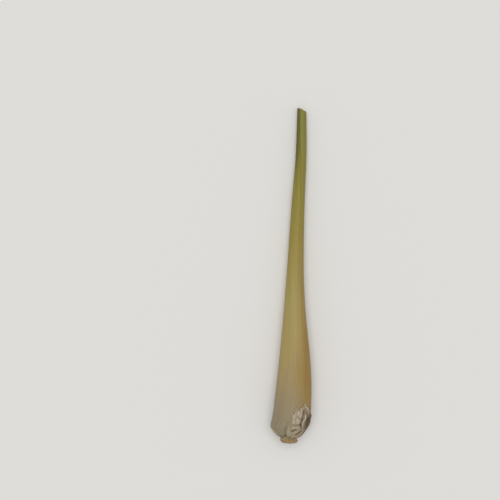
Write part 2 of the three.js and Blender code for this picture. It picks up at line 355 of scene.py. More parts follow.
def sheet_mesh(name, outer, inner, fields, kept=None):
    """A closed mesh of the kept faces, or of all. fields holds numbers at each grid point."""
    index = np.arange(outer[..., 0].size).reshape(outer.shape[:2])
    if kept is None:
        kept = np.ones_like(index[1:, 1:], bool)
    quads = np.stack([index[:-1, :-1], index[:-1, 1:], index[1:, 1:], index[1:, :-1]], -1)[kept]
    walls, at_cut = wall_faces(index, kept)
    faces = np.concatenate([quads, quads[:, ::-1] + index.size, walls])
    used, faces = np.unique(faces, return_inverse=True)
    faces = faces.reshape(-1, 4)
    points = np.concatenate([outer.reshape(-1, 3), inner.reshape(-1, 3)])[used]
    mesh = bpy.data.meshes.new(name)
    mesh.from_pydata(points, [], faces)
    for field, values in fields.items():
        add_field(mesh, field, np.tile(np.broadcast_to(values, index.shape).ravel(), 2)[used])
    cut_faces = np.concatenate([np.zeros(2 * len(quads), bool), at_cut])
    mesh.polygons.foreach_set("material_index", cut_faces.astype(np.int32))
    mesh.shade_smooth()
    mesh.set_sharp_from_angle(angle=SHARP_ANGLE)
    return mesh


print("edges sharper than", round(math.degrees(SHARP_ANGLE)), "degrees stay crisp")


# %% Put things, and finished pieces, into the scene
def put(name, data):
    """A new object in the scene, from a mesh, or from a lamp's or a camera's data."""
    thing = bpy.data.objects.new(name, data)
    bpy.context.scene.collection.objects.link(thing)
    return thing


def add_piece(name, mesh, finishes, node=None):
    piece = put(name, mesh)
    for finish in finishes:
        mesh.materials.append(finish)
    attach(piece, "root")
    if node:
        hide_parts(node)
    mesh.calc_loop_triangles()
    print(name, "has", len(mesh.loop_triangles), "triangles and", len(mesh.vertices), "points")


# %% [markdown]
# ## Tools for the finishes
# Plant surfaces change along the stalk, round it and from vein to vein. So each mesh carries
# a few numbers at every point: along (0 at the root end, 1 at the tip), across (0 at the outer
# margin, 1 at the covered one) and side (-1 on the left, 1 on the right). The finishes read
# them as attributes, so their patterns follow the veins, with no image and no seam.

# %% Short ways to place shader nodes
def colour(red, green, blue):
    """A colour given as it looks on a screen, from 0 to 255, as the linear one that shaders use."""
    screen = np.array([red, green, blue]) / 255
    linear = np.where(screen < 0.04045, screen / 12.92, ((screen + 0.055) / 1.055) ** 2.4)
    return (*linear.tolist(), 1)


def add(tree, kind, inputs, **settings):
    node = tree.nodes.new("ShaderNode" + kind)
    for name, value in settings.items():
        setattr(node, name, value)
    for key, value in inputs.items():
        if isinstance(value, bpy.types.NodeSocket):
            tree.links.new(value, node.inputs[key])
        else:
            node.inputs[key].default_value = value
    return node


def field(tree, name):
    return add(tree, "Attribute", {}, attribute_name=name).outputs["Fac"]


def maths(tree, operation, first, second):
    return add(tree, "Math", {0: first, 1: second}, operation=operation).outputs[0]


def level(tree, value, start, end, low=0, high=1):
    """low up to start, high from end on, and smooth between them."""
    inputs = {"Value": value, "From Min": start, "From Max": end, "To Min": low, "To Max": high}
    return add(tree, "MapRange", inputs, interpolation_type="SMOOTHSTEP").outputs["Result"]


print("brown on a screen, 84 66 42, is", np.round(colour(84, 66, 42)[:3], 3), "to a shader")


# %% Count the nodes of a recipe
def nodes_for(build):
    """How many nodes a recipe takes, tried on a material that is thrown away."""
    trial = bpy.data.materials.new("trial")
    trial.use_nodes = True
    trial.node_tree.nodes.clear()
    build(trial.node_tree)
    count = len(trial.node_tree.nodes)
    bpy.data.materials.remove(trial)
    return count


smooth_change = nodes_for(lambda tree: level(tree, 0, 0, 1))
print("a smooth change from one level to another takes", smooth_change, "node")


# %% Ways to blend numbers and colours
def band(tree, value, middle, reach):
    """1 at the middle, falling off smoothly to 0 on both sides of it."""
    away = add(tree, "Math", {0: maths(tree, "SUBTRACT", value, middle)}, operation="ABSOLUTE")
    return level(tree, away.outputs[0], 0, reach, 1, 0)


def mix(tree, share, first, second, blend_type="MIX"):
    inputs = {0: share, 6: first, 7: second}
    return add(tree, "Mix", inputs, data_type="RGBA", blend_type=blend_type).outputs[2]


def lay(tree, shade, coat, *shares):
    """Lays a coat of colour over a shade, as strong as its shares multiplied together."""
    strength = shares[0]
    for share in shares[1:]:
        strength = maths(tree, "MULTIPLY", strength, share)
    return mix(tree, strength, shade, coat)


def ramp(tree, value, stops):
    """A colour that runs through (place, colour) stops."""
    node = add(tree, "ValToRGB", {"Fac": value})
    elements = node.color_ramp.elements
    while len(elements) < len(stops):
        elements.new(1)
    for element, (position, shade) in zip(elements, stops):
        element.position = position
        element.color = shade
    return node.outputs["Color"]


red, green = colour(255, 0, 0), colour(0, 255, 0)
print("a coat with two shares takes", nodes_for(lambda tree: lay(tree, red, green, 0.5, 0.5)), "nodes")


# %% Patterns that follow the veins, and fine relief
NOISE_ROUGHNESS = 0.6


def streaks(tree, across_count, along_count, seed, detail=3):
    """Noise drawn out along the veins: so many patches across the sheet and along the stalk."""
    x = maths(tree, "MULTIPLY", field(tree, "across"), across_count)
    y = maths(tree, "MULTIPLY", field(tree, "along"), along_count)
    spot = add(tree, "CombineXYZ", {"X": x, "Y": y, "Z": seed}).outputs[0]
    inputs = {"Vector": spot, "Scale": 1, "Detail": detail, "Roughness": NOISE_ROUGHNESS}
    return add(tree, "TexNoise", inputs).outputs["Fac"]


def grains(tree, size, detail=3):
    """Even noise in patches of this size."""
    spot = add(tree, "TexCoord", {}).outputs["Object"]
    inputs = {"Vector": spot, "Scale": 1 / size, "Detail": detail, "Roughness": NOISE_ROUGHNESS}
    return add(tree, "TexNoise", inputs).outputs["Fac"]


def bump(tree, height, distance, normal=None):
    inputs = {"Height": height, "Distance": distance, "Strength": 1}
    if normal:
        inputs["Normal"] = normal
    return add(tree, "Bump", inputs).outputs["Normal"]


print("streaks take", nodes_for(lambda tree: streaks(tree, 60, 2, 4.2)), "nodes")
print("grains take", nodes_for(lambda tree: grains(tree, MM)), "nodes")


# %% Start a finish, and wear what was painted for it
SCATTER_TINT = (1, 0.7, 0.3)  # red light spreads furthest inside a plant


def new_finish(name, specular, subsurface, scatter):
    """A material with its Principled shader. scatter is how far light spreads inside, in metres."""
    material = bpy.data.materials.new(name)
    material.use_nodes = True
    shader = material.node_tree.nodes["Principled BSDF"]
    shader.inputs["Specular IOR Level"].default_value = specular
    shader.inputs["Subsurface Weight"].default_value = subsurface
    shader.inputs["Subsurface Scale"].default_value = scatter
    shader.inputs["Subsurface Radius"].default_value = SCATTER_TINT
    return material, material.node_tree, shader


def wear(tree, shader, shade, roughness, normal):
    tree.links.new(shade, shader.inputs["Base Color"])
    tree.links.new(roughness, shader.inputs["Roughness"])
    tree.links.new(normal, shader.inputs["Normal"])


print("red light spreads", round(SCATTER_TINT[0] / SCATTER_TINT[2], 1), "times as far as blue")

# %% [markdown]
# ## The living sheath
# A fresh sheath is waxy, cream where it was shaded near the root, straw yellow above that, and
# olive green where it reached the light. Veins run its whole length. The outside of this one has
# a tan flush on its right, darkened at the edge as painted shade, a darker strip of painted shade
# on its left near the tip, painted shadow under the torn collar and beside the slit, dry pale skin
# at its margin and rim, and faint rust-coloured streaks. One ramp along the stalk gives the main
# change, and each of the others is laid over it where it belongs.

# %% Colours of the living sheath
RIM_GREY = colour(142, 133, 109)
BULB_CREAM = colour(150, 135, 106)
WARM_STRAW = colour(168, 147, 93)
PALE_STRAW = colour(166, 149, 90)
YELLOW_OLIVE = colour(152, 136, 67)
OLIVE = colour(140, 131, 57)
TIP_GREEN = colour(130, 128, 60)
# The tan of the flush, darkened as painted shade for the right edge
TAN_FLUSH_AND_SHADE = colour(151, 120, 60)
WARM_TAN = colour(159, 132, 71)
LEAF_STREAK = colour(150, 146, 76)
# Olive for painted shade, in the strip near the tip
SHADE_OLIVE = colour(88, 80, 22)
DRY_SKIN = colour(172, 163, 134)
RUST = colour(150, 92, 44)
# Brown for real scuffs near the rim, and for painted shadow under the collar and beside the slit
SCUFF_AND_SHADOW_BROWN = colour(84, 66, 42)
SHEATH_ALONG = [
    (0.02, RIM_GREY),
    (0.12, BULB_CREAM),
    (0.28, WARM_STRAW),
    (0.42, PALE_STRAW),
    (0.58, YELLOW_OLIVE),
    (0.78, OLIVE),
    (0.97, TIP_GREEN),
]
print("the ramp runs through", len(SHEATH_ALONG), "colours from rim to tip")


# %% Flush the ramp's colours on the right of the stalk, darker at its edge as painted shade
def flushed_colour(tree, flush):
    along, side = field(tree, "along"), field(tree, "side")
    shift = level(tree, streaks(tree, 26, 3, 1.5), 0.3, 0.7, -0.03, 0.03)
    shade = ramp(tree, maths(tree, "ADD", along, shift), SHEATH_ALONG)
    right = level(tree, side, -0.4, 0.3, 0, flush)
    shade = lay(tree, shade, WARM_TAN, right, band(tree, along, 0.2, 0.15))
    # Far right: the real tan flush, made darker as painted shade from a neighbouring stalk against that
    # edge.
    far_right = level(tree, side, 0.35, 0.75, 0, flush)
    patchy = level(tree, streaks(tree, 20, 9, 6.3), 0.35, 0.65, 0.7, 1.2)
    return lay(tree, shade, TAN_FLUSH_AND_SHADE, far_right, band(tree, along, 0.3, 0.5), patchy)


print("the flushed ramp takes", nodes_for(lambda tree: flushed_colour(tree, 1)), "nodes")


# %% Lay the streaks, the strip of painted shade, the dry skin and the painted shadow over it
def living_colour(tree, flush, painted_shade_strip):
    along, across, side = (field(tree, name) for name in ("along", "across", "side"))
    shade = flushed_colour(tree, flush)
    leafy = level(tree, streaks(tree, 60, 2, 4.2), 0.54, 0.7, 0, 0.35)
    shade = lay(tree, shade, LEAF_STREAK, leafy, level(tree, along, 0.15, 0.4))
    greener = band(tree, side, -0.2, 0.35)
    shade = lay(tree, shade, LEAF_STREAK, greener, band(tree, along, 0.36, 0.16), 0.5 * flush)
    rusty = level(tree, streaks(tree, 140, 3, 9.1), 0.66, 0.76, 0, 0.45)
    shade = lay(tree, shade, RUST, rusty, band(tree, along, 0.3, 0.35))
    # Painted shade: a darker olive strip on the left near the tip, where a neighbouring stalk lay
    # against it.
    strip = level(tree, side, -0.85, 0.0, 1, 0)
    shade = lay(tree, shade, SHADE_OLIVE, strip, level(tree, along, 0.74, 0.9), painted_shade_strip)
    margin = level(tree, across, 0, 0.01, 0.2, 0)
    shade = lay(tree, shade, DRY_SKIN, margin, level(tree, along, 0.7, 0.5))
    beside_margin = level(tree, across, 0.03, 0.045, 1, 0)
    shade = lay(tree, shade, DRY_SKIN, beside_margin, level(tree, along, 0.04, 0.07, 0.7, 0))
    # Painted shadow: dark brown under the lifted collar's bite and in a thin line beside the slit.
    shade = lay(tree, shade, SCUFF_AND_SHADOW_BROWN, field(tree, "stain"), 0.9)
    veins = level(tree, streaks(tree, 260, 5, 7.7, 2), 0.3, 0.7, 0.9, 1.07)
    return mix(tree, 1, shade, veins, "MULTIPLY")


print("the whole colour takes", nodes_for(lambda tree: living_colour(tree, 1, 1)), "nodes")


# %% Scuffs near the rim, then gloss and fine relief
def living_sheath(name, flush, painted_shade_strip):
    material, tree, shader = new_finish(name, specular=0.22, subsurface=0.15, scatter=0.4 * MM)
    along = field(tree, "along")
    shade = living_colour(tree, flush, painted_shade_strip)
    near_rim = level(tree, along, 0.02, 0.12, 1, 0)
    scuffed = level(tree, grains(tree, 2.2 * MM, 5), 0.52, 0.68, 0, 0.45)
    shade = lay(tree, shade, SCUFF_AND_SHADOW_BROWN, near_rim, scuffed)
    shade = lay(tree, shade, SCUFF_AND_SHADOW_BROWN, level(tree, along, 0.016, 0.03, 0.7, 0))
    fine = streaks(tree, 320, 6, 3.3, 4)
    roughness = level(tree, fine, 0.3, 0.7, 0.4, 0.56)
    normal = bump(tree, fine, 0.05 * MM)
    normal = bump(tree, grains(tree, 0.5 * MM), 0.012 * MM, normal)
    wear(tree, shader, shade, roughness, normal)
    return material


outer_skin = living_sheath("outer_sheath_skin", flush=0.7, painted_shade_strip=0.8)
inner_skin = living_sheath("second_sheath_skin", flush=0.15, painted_shade_strip=0.3)
young_skin = living_sheath("young_leaf_skin", flush=0.0, painted_shade_strip=0.0)
print("made", outer_skin.name, inner_skin.name, "and", young_skin.name)

# %% [markdown]
# ## The cut end
# A knife leaves the sheaths' ends paler and wetter than their skin, with darker dots where the
# veins were cut through, and the edges dry brown first. It is a second finish on the same mesh,
# worn only by the wall of faces at the cut, so the change of colour is as sharp as the knife's.

# %% The finish of the cut ends
CUT_PALE = colour(178, 182, 112)
CUT_DOT = colour(96, 100, 50)


def cut_end(name):
    material, tree, shader = new_finish(name, specular=0.5, subsurface=0.3, scatter=1 * MM)
    dots = level(tree, grains(tree, 0.3 * MM, 2), 0.55, 0.68, 0, 0.8)
    shade = lay(tree, CUT_PALE, CUT_DOT, dots)
    roughness = level(tree, dots, 0, 0.8, 0.35, 0.6)
    wear(tree, shader, shade, roughness, bump(tree, dots, 0.04 * MM))
    return material


cut_finish = cut_end("cut_sheath_ends")
print("made", cut_finish.name)

# %% [markdown]
# ## Veins in relief
# Run a finger round a lemongrass stalk and it catches on fine ribs, with a few broad flutes under
# them. Bump mapping alone would vanish at the stalk's edge, so the ribs are in the mesh, with four
# or five columns of faces for each vein. They are cut inwards from the skin, which keeps the size.

# %% How deep the skin lies between the veins
VEIN_DEPTH = 0.07 * MM
FLUTE_DEPTH = 0.16 * MM
FLUTE_COUNT = 7
VEINS_WANDER = (19, 31 * MM)  # how fast round the stalk, and the length that it takes along it
FLUTES_WANDER_LENGTH = 47 * MM
RIBBED_THICKNESS = 0.5 * MM  # a sheet thinner than this, as at its margin, has lower ribs


def relief(across, station, vein_count):
    wander = 0.5 * np.sin(VEINS_WANDER[0] * across + station / VEINS_WANDER[1])
    rib = 0.5 + 0.5 * np.cos(TURN * vein_count * across + wander)
    swing = np.sin(station / FLUTES_WANDER_LENGTH)
    flute = 0.5 + 0.5 * np.cos(TURN * FLUTE_COUNT * across + swing)
    narrow = half_width(station) / BULB_HALF_WIDTH
    return narrow * (VEIN_DEPTH * (1 - rib**2) + FLUTE_DEPTH * flute)


OUTER_VEINS = 52
deepest = relief(np.linspace(0, 1, 500), BULB_STATION, OUTER_VEINS).max()
print("at the bulb the skin lies up to", round(deepest / MM, 2), "mm deep between its ribs")


# %% Bend a whole sheath round the stalk
ROW_CROWDING = 0.85  # 0 for even rows, 1 for the closest at both ends


def rows_up(count):
    """Shares from rim to cut, closer together towards both ends."""
    even = np.linspace(0, 1, count + 1)
    return between(even, (1 - np.cos(math.pi * even)) / 2, ROW_CROWDING)[:, None]


def bend_sheath(across, up, rim_run, margin, outline_depth, vein_count, part=None):
    """Points of the outer and inner face, their angles, and the fields that the finish reads."""
    rough = outline(between(rim_run, run_to(STALK_LENGTH), up))[0]
    turns = across * (1 + overlap_at(rough))
    if part:
        turns = part(turns, rough)
    angle = margin(rough) - TURN * turns
    skin = outline_depth(angle, rough) + wrap_depth(turns, rough)
    sheet = thickness(turns, rough)
    ribs = relief(across, rough, vein_count) * np.minimum(sheet / RIBBED_THICKNESS, 1)
    faces = []
    for depth in (skin + ribs, skin + sheet):
        run = between(rim_run, run_to(tip_cut(angle, depth)), up)
        faces.append(place(run, angle, depth))
    fields = {"along": rough / STALK_LENGTH, "across": across, "side": np.cos(angle)}
    return faces, angle, fields


spacing = np.diff(rows_up(100)[:, 0]) * 100
print("rows of faces lie", spacing.min().round(2), "to", spacing.max().round(2), "of the mean apart")


# %% [markdown]
# ## The outer sheath
# It is the piece that shows most. Its lower rim was torn when older sheaths were peeled off, so
# the rim is ragged, and a slit follows the veins up from it beside the outer margin. The slit is
# one column of faces left out, with the columns on both sides pushed apart, and pushed less and
# less further up. A Boolean cut would leave a straighter, cleaner edge than a tear does.

# %% Plan the ragged rim, the slit and the painted shadows
OUTER_ROWS = 150
OUTER_COLUMNS = OUTER_VEINS * 5
OUTER_WAVES = (41, 17)
RIM_RAGGEDNESS = 0.8 * MM
RIM_JAGS = 0.7 * MM
SLIT_TURNS = 0.9914
SLIT_HALF_WIDTH = 0.75 * MM
SLIT_RUN = 13 * MM
SLIT_SPREAD = 0.03  # in turns, how far to each side the sheet gives way
MARGIN_GIVES = 1.6  # how far the margin draws back, in half widths of the slit
rng = np.random.default_rng(11)


def ragged(across, fine, coarse):
    return 0.5 + 0.5 * np.sin(fine * across) * np.cos(coarse * across)


def part_slit(turns, station):
    """Pushes the sheet apart along the slit, and draws the margin back beside it."""
    opening = np.clip(1 - station / (SLIT_RUN + RIM_STATION), 0, 1) * SLIT_HALF_WIDTH
    share = opening / (TURN * np.maximum(half_width(station), RIM_HALF_WIDTH))
    away = turns - SLIT_TURNS
    parted = turns + share * np.sign(away) * np.exp(-np.abs(away) / SLIT_SPREAD)
    return parted + MARGIN_GIVES * share * np.exp(-turns / SLIT_SPREAD)


# Painted shadow on the outer sheath: under the lifted collar at its bite, and a thin line beside the
# slit.
PAINTED_SHADOW_PATHS = [
    ([(19, 24), (15.5, 24), (12.5, 22), (8.5, 14), (5, 10)], 2.8 * MM, 1),
    ([(9.5, 101.5), (1, 101.5)], 0.6 * MM, 0.75),
]  # knots in millimetres of run and degrees, then its reach and strength
print("the slit is", SLIT_RUN / MM, "mm long and", 2 * SLIT_HALF_WIDTH / MM, "mm wide at the rim")

# %% Make the outer sheath
outer_across = np.linspace(0, 1, OUTER_COLUMNS + 1)[None, :]
jags = RIM_JAGS * rng.random(outer_across.shape) ** 3
outer_rim = RIM_RAGGEDNESS * ragged(outer_across, *OUTER_WAVES) + jags
outer_up = rows_up(OUTER_ROWS)
faces, outer_angle, fields = bend_sheath(
    outer_across, outer_up, outer_rim, margin_angle, lambda angle, station: 0, OUTER_VEINS, part_slit
)
outer_run = between(outer_rim, run_to(STALK_LENGTH), outer_up)
outer_angle = (outer_angle + TURN / 2) % TURN - TURN / 2
painted_shadows = [share * closeness(outer_run, outer_angle, path, reach) for path, reach, share in PAINTED_SHADOW_PATHS]
fields["stain"] = np.maximum.reduce(painted_shadows)
slit_column = int(SLIT_TURNS / (1 + OVERLAP) * OUTER_COLUMNS)
kept = np.ones((OUTER_ROWS, OUTER_COLUMNS), bool)
slit_rows = outer_up[1:, 0] * run_to(STALK_LENGTH) < SLIT_RUN
kept[slit_rows, slit_column] = False
outer_mesh = sheet_mesh("outer_sheath_fine", *faces, fields, kept)
add_piece("outer_sheath_fine", outer_mesh, [outer_skin, cut_finish], "outer_sheath")

# %% [markdown]
# ## The second sheath
# It shows in three places: through the slit, between the outer sheath's margins near the tip,
# and as a ring at the cut. It is made by the same rules, one layer down, with its margin on the
# far side of the stalk, because leaves take turns.

# %% Make the second sheath
SECOND_VEINS = 40
SECOND_ROWS = 110
SECOND_COLUMNS = SECOND_VEINS * 4
SECOND_WAVES = (37, 13)
SECOND_RIM_RUN = 2.6 * MM
second_across = np.linspace(0, 1, SECOND_COLUMNS + 1)[None, :]
faces, _, fields = bend_sheath(
    second_across,
    rows_up(SECOND_ROWS),
    SECOND_RIM_RUN + RIM_RAGGEDNESS * ragged(second_across, *SECOND_WAVES),
    second_margin_angle,
    second_depth,
    SECOND_VEINS,
)
second_mesh = sheet_mesh("second_sheath_fine", *faces, fields)
add_piece("second_sheath_fine", second_mesh, [inner_skin, cut_finish], "second_sheath")

# %% [markdown]
# ## The inner roll
# Inside are the youngest leaves, rolled round each other like a scroll. At the cut they show as
# a spiral, and the heart stands a little proud of the rest. One sheet wound into a spiral gives
# both, from the root plate to the tip.

# %% Wind a sheet into a roll
ROLL_STATION = 24.8 * MM
ROLL_TURNS = 3.3
ROLL_STARTS = 0.25  # in turns, past the second sheath's margin
HEART_SHARE = 0.12
HEART_FROM = (0.55, 0.8)  # the shares of the winding between which it rises to the heart
HEART_RISE = 0.7 * MM
LEAF_SHARE = 0.84  # of each turn's pitch that is leaf, the rest being the gap
OUTER_EDGE = (0.06, 0.3)  # the share over which it thins to its outer edge, and its thickness there
CUT_UNEVENNESS = (0.15 * MM, 31)  # height, and how fast it changes with the winding


def wind_roll(wound, up):
    """wound runs from 0 at the roll's outer edge to 1 at its heart."""
    rough = between(ROLL_STATION, STALK_LENGTH, up)
    angle = second_margin_angle(rough) - TURN * (ROLL_STARTS + ROLL_TURNS * wound)
    depth = roll_depth(angle, rough)
    pitch = (1 - HEART_SHARE) / (ROLL_TURNS + LEAF_SHARE)
    outer_share = 1 - pitch * ROLL_TURNS * wound
    leaf = pitch * LEAF_SHARE * between(OUTER_EDGE[1], 1, fade(wound, 0, OUTER_EDGE[0]))
    rise = HEART_RISE * fade(wound, *HEART_FROM) + CUT_UNEVENNESS[0] * np.sin(CUT_UNEVENNESS[1] * wound)
    faces = []
    for share in (outer_share, outer_share - leaf):
        top = tip_cut(angle, between(TIP_HALF_WIDTH, depth, share)) + rise
        station = between(ROLL_STATION, top, up)
        skin = place(run_to(station), angle, depth)
        middle = np.stack([axis_x(station), skin[..., 1], axis_z(station)], -1)
        point = between(middle, skin, share[..., None])
        point[..., 1] = station - STALK_LENGTH / 2
        faces.append(point)
    fields = {"along": rough / STALK_LENGTH, "across": wound, "side": np.cos(angle)}
    return faces, fields


print("it winds", ROLL_TURNS, "times round, from its outer edge to its heart")

# %% Make the inner roll
ROLL_COLUMNS = 200
ROLL_ROWS = 90
wound = np.linspace(0, 1, ROLL_COLUMNS + 1)[None, :] + np.zeros((ROLL_ROWS + 1, 1))
faces, fields = wind_roll(wound, rows_up(ROLL_ROWS) + 0 * wound)
roll_mesh = sheet_mesh("inner_roll_fine", *faces, fields)
add_piece("inner_roll_fine", roll_mesh, [young_skin, cut_finish], "inner_roll")

# %% [markdown]
# ## The root plate
# Under the bulb is the stem itself, a short woody plug that was trimmed across. Roots grew from
# its side, and their cut stubs are fused with it. Separate shapes joined in one mesh would still
# show a crease where they meet, so a voxel Remesh melts them together, and then every point is
# nudged by noise: rings and fibre ends on the cut face, wrinkles along the side.

# %% Close a stack of rings into a tube
def ring_angles(sides):
    return np.arange(sides)[:, None] * TURN / sides


def tube(rings):
    """Points and outward faces, for rings that turn anticlockwise as seen from the tube's end."""
    count, sides = rings.shape[:2]
    faces = []
    for low in range(0, (count - 1) * sides, sides):
        high = low + sides
        for side in range(sides):
            after = (side + 1) % sides
            faces.append((low + side, low + after, high + after, high + side))
    start = tuple(range(sides))[::-1]
    return rings.reshape(-1, 3), [*faces, start, tuple(range((count - 1) * sides, count * sides))]


print("a tube of two rings of 12 has", len(tube(np.zeros((2, 12, 3)))[1]), "faces, with its ends")


# %% Shape the plug
PLUG_RINGS = [
    (4.6, 0),
    (5.25, 0.7),
    (5.35, 3),
    (4.9, 4.8),
    (5.2, 7.4),
    (6.3, 9.8),
    (6.8, 13),
    (6.5, 20),
    (5.6, 23.4),
]  # half width and station, in millimetres
PLUG_SIDES = 72


def plug_mesh():
    half, station = np.array(PLUG_RINGS).T[..., None, None] * MM
    turned = ring_angles(PLUG_SIDES)
    places = [half * np.cos(turned), station + 0 * turned, -half * np.sin(turned)]
    return tube(np.concatenate(places, -1))


print("the plug is", 2 * max(half for half, _ in PLUG_RINGS), "mm wide, mostly inside the bulb")

# %% Shape one root stub
STUB_HALF_WIDTH = 5.35 * MM  # how far from the axis the middle of a stub is
STUB_TILT = math.radians(20)
STUB_SIDES = 12
STUB_STATION = 1.7 * MM
STUB_LENGTH = 1.4 * MM
STUB_ENDS = [(-0.5, 0.8 * MM), (0.5, 0.62 * MM)]  # place along its length, and radius


def stub_mesh(turned, grown):
    """One cut root: a short tapered post that leans back towards the cut face."""
    out = np.array([math.cos(turned), 0, math.sin(turned)])
    lean = out * math.cos(STUB_TILT) - np.array([0, 1, 0]) * math.sin(STUB_TILT)
    across = np.array([-math.sin(turned), 0, math.cos(turned)])
    middle = out * STUB_HALF_WIDTH + np.array([0, STUB_STATION, 0])
    angles = ring_angles(STUB_SIDES)
    around = across * np.cos(angles) + np.cross(lean, across) * np.sin(angles)
    rings = [middle + grown * (end * STUB_LENGTH * lean + radius * around) for end, radius in STUB_ENDS]
    return tube(np.array(rings))


print("a stub leans back by", round(math.degrees(STUB_TILT)), "degrees")


# %% Join the plug and its root stubs, not yet melted together
def joined(meshes):
    points, faces = [], []
    for some_points, some_faces in meshes:
        faces += [tuple(len(points) + corner for corner in face) for face in some_faces]
        points += [tuple(point) for point in some_points]
    return points, faces


STUB_COUNT = 9
STUB_STRAY = (0.3, 5)  # the share of their spacing by which they stray, and its beat
STUB_SIZES = (0.7, 1.12)
share, beat = STUB_STRAY
spots = [TURN / STUB_COUNT * (i + share * math.sin(beat * i)) for i in range(STUB_COUNT)]
rng = np.random.default_rng(5)
grown = rng.uniform(*STUB_SIZES, STUB_COUNT)
stubs = [stub_mesh(TURN / 4 - spot, size) for spot, size in zip(spots, grown)]
points, faces = joined([plug_mesh(), *stubs])
rough_plug = bpy.data.meshes.new("rough_plug")
rough_plug.from_pydata(points, [], faces)
print("the plug and its stubs have", len(points), "points before they are melted together")


# %% Melt them together
PLUG_VOXEL = 0.2 * MM
PLUG_SMOOTHINGS = 3


def remeshed(mesh, voxel):
    holder = put("holder", mesh)
    melt = holder.modifiers.new("melt", "REMESH")
    melt.mode = "VOXEL"
    melt.voxel_size = voxel
    smooth = holder.modifiers.new("smooth", "SMOOTH")
    smooth.iterations = PLUG_SMOOTHINGS
    bpy.context.view_layer.update()
    evaluated = holder.evaluated_get(bpy.context.evaluated_depsgraph_get())
    result = bpy.data.meshes.new_from_object(evaluated)
    bpy.data.objects.remove(holder)
    return result


plug = remeshed(rough_plug, PLUG_VOXEL)
print("melted together, they have", len(plug.vertices), "points")


# %% Work the surface
FACE_INSET = 0.1 * MM
FACE_RINGS = (0.12 * MM, 0.33 * MM)  # height and width
FACE_FIBRES = (0.3 * MM, 1700)  # height, and how many patches to a metre
SIDE_INSET = 0.05 * MM
SIDE_SCARS = (0.04 * MM, 0.55 * MM)  # height and width
SIDE_WRINKLES = (0.35 * MM, 9, 120)  # height, and how many patches round it and to a metre
RING_WANDER = (2, 400)  # how far the rings wander, and how many patches to a metre


def work_plug(point):
    """Where a point of the plug ends up: fibres and rings in the cut face, wrinkles on the side."""
    x, y, z = point
    around, out = math.atan2(z, x), math.hypot(x, z)
    on_face = 1 - min(y / MM, 1)
    wander = RING_WANDER[0] * noise.noise(point * RING_WANDER[1])
    rings = FACE_RINGS[0] * (0.5 + 0.5 * math.sin(out / FACE_RINGS[1] + wander))
    fibres = FACE_FIBRES[0] * abs(noise.noise(Vector((x, 0, z)) * FACE_FIBRES[1]))
    y += on_face * (rings + fibres + FACE_INSET)
    height, round_it, to_a_metre = SIDE_WRINKLES
    spot = (math.cos(around) * round_it, y * to_a_metre, math.sin(around) * round_it)
    wrinkles = height * abs(noise.noise(Vector(spot)))
    scars = SIDE_SCARS[0] * math.sin(y / SIDE_SCARS[1])
    shrink = 1 - (wrinkles + scars + SIDE_INSET) / max(out, MM)
    return Vector((x * shrink, y, z * shrink * BULB_HEIGHT_SHARE))


print("wrinkles on its side are up to", SIDE_WRINKLES[0] / MM, "mm deep")


# %% Work every point, then move the plug to its place under the bulb
root_along, root_out = [], []
for vertex in plug.vertices:
    root_along.append(vertex.co.y / STALK_LENGTH)
    root_out.append(math.hypot(vertex.co.x, vertex.co.z) / STUB_HALF_WIDTH)
    worked = work_plug(vertex.co)
    station = max(worked.y, 0)
    vertex.co = (
        worked.x + float(axis_x(station)),
        station - STALK_LENGTH / 2,
        worked.z + float(axis_z(station)),
    )
add_field(plug, "along", root_along)
add_field(plug, "out", root_out)
plug.shade_smooth()
lowest = min(vertex.co.y for vertex in plug.vertices) + STALK_LENGTH / 2
print("after the work, the cut face starts", round(lowest / MM, 2), "mm from the end")

# %% [markdown]
# The plug dries first, so it is the brownest part of the stalk: orange tan on its side, with
# darker blotches, and pale fibre ends and brown rings on the face.

# %% The finish of the root plate
PLUG_TAN = colour(170, 149, 110)
PLUG_BROWN = colour(138, 114, 80)
FIBRE_PALE = colour(188, 171, 132)
FACE_TAN = colour(152, 131, 94)


def plug_finish(name):
    material, tree, shader = new_finish(name, specular=0.3, subsurface=0.1, scatter=0.6 * MM)
    blotches = level(tree, grains(tree, 1.6 * MM, 5), 0.35, 0.7)
    side = lay(tree, PLUG_TAN, PLUG_BROWN, blotches)
    face = lay(tree, FACE_TAN, FIBRE_PALE, level(tree, grains(tree, 0.3 * MM, 2), 0.5, 0.66, 0, 0.7))
    wander = level(tree, grains(tree, 2 * MM), 0.3, 0.7, -0.05, 0.05)
    out = maths(tree, "ADD", field(tree, "out"), wander)
    rings = level(tree, maths(tree, "PINGPONG", out, 0.09), 0.02, 0.07, 0, 0.55)
    face = lay(tree, face, PLUG_BROWN, rings)
    face = lay(tree, face, PLUG_BROWN, level(tree, out, 0.78, 0.98, 0, 0.6))
    shade = lay(tree, side, face, level(tree, field(tree, "along"), 0.001, 0.003, 1, 0))
    roughness = level(tree, blotches, 0, 1, 0.7, 0.88)
    wear(tree, shader, shade, roughness, bump(tree, grains(tree, 0.25 * MM, 4), 0.06 * MM))
    return material


add_piece("root_plate_fine", plug, [plug_finish("root_plug")], "root_plate")

# %% [markdown]
# ## The torn sheath
# An older sheath was pulled off and left a papery collar round the right of the bulb. It has
# dried, so it is pale, thin and pleated, its free edge is split into strips that stand off by
# different amounts, and a bite is missing from its lower edge. It is the same kind of sheet,
# with slits down from its free edge and each strip between two slits lifted by its own amount.

